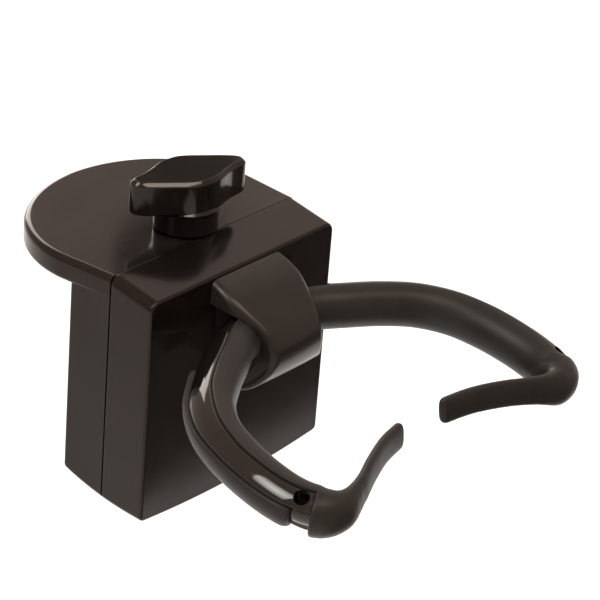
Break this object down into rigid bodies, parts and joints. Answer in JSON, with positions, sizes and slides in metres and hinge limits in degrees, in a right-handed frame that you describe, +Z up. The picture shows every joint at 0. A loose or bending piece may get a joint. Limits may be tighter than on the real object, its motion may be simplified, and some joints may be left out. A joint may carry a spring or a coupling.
{
  "type": "guitar neck holder",
  "caption": "Clamp-on guitar holder: a round clamp plate and a knob-driven lower jaw grip a table edge, and a padded yoke on the front cradles the neck.",
  "frame": {"origin": "middle of the lower face of the rubber pad under the clamp plate, on the part's mid-plane", "axes": "+Z up, +Y from the guitar towards the table, +X to the right as seen by someone facing the yoke"},
  "size_m": [0.1076, 0.1292, 0.0793],
  "materials": {
    "shell_plastic": "fine satin moulded",
    "gloss_plastic": "polished",
    "soft_rubber": "matt, soft touch",
    "zinc_steel": "zinc plated",
    "brass": "turned",
    "nylon": "natural"
  },
  "bodies": {
    "housing": {"backing_plate": "zinc_steel", "end_cap_left": "soft_rubber", "end_cap_right": "soft_rubber", "foot_bush": "nylon", "front_housing": "shell_plastic", "housing_screw_bottom_left": "zinc_steel", "housing_screw_bottom_right": "zinc_steel", "housing_screw_top_left": "zinc_steel", "housing_screw_top_right": "zinc_steel", "liner_left": "soft_rubber", "liner_right": "soft_rubber", "plate_pad": "soft_rubber", "rear_housing": "shell_plastic", "saddle_cushion": "soft_rubber", "strip_left": "soft_rubber", "strip_right": "soft_rubber", "thrust_washer": "nylon", "yoke_bolt_left": "zinc_steel", "yoke_bolt_right": "zinc_steel", "yoke_frame": "gloss_plastic"},
    "screw": {"clamp_screw": "zinc_steel", "knob": "gloss_plastic", "retaining_ring": "zinc_steel"},
    "jaw": {"jaw": "shell_plastic", "jaw_pad": "soft_rubber", "jaw_nut": "brass"},
    "tongue_left": {"tongue_left": "soft_rubber"},
    "tongue_right": {"tongue_right": "soft_rubber"}
  },
  "joints": [
    {"name": "knob_turn", "type": "hinge", "parent": "housing", "child": "screw", "pos_m": [0, -0.0232, 0.008], "axis": [0, 0, 1], "range_deg": [-990.5, 5184.5]},
    {"name": "jaw_slide", "type": "slide", "parent": "housing", "child": "jaw", "axis": [0, 0, 1], "range_m": [-0.0288, 0.0055]},
    {"name": "tongue_left_flex", "type": "hinge", "parent": "housing", "child": "tongue_left", "pos_m": [-0.0393, -0.1098, -0.0157], "axis": [0, 0, 1], "range_deg": [-45, 45], "stiffness_Nm_per_rad": 0.05},
    {"name": "tongue_right_flex", "type": "hinge", "parent": "housing", "child": "tongue_right", "pos_m": [0.0393, -0.1098, -0.0157], "axis": [0, 0, 1], "range_deg": [-45, 45], "stiffness_Nm_per_rad": 0.05}
  ],
  "couplings": [
    {"joint": "knob_turn", "follows": "jaw_slide", "rad_per_m": -3141.6}
  ]
}
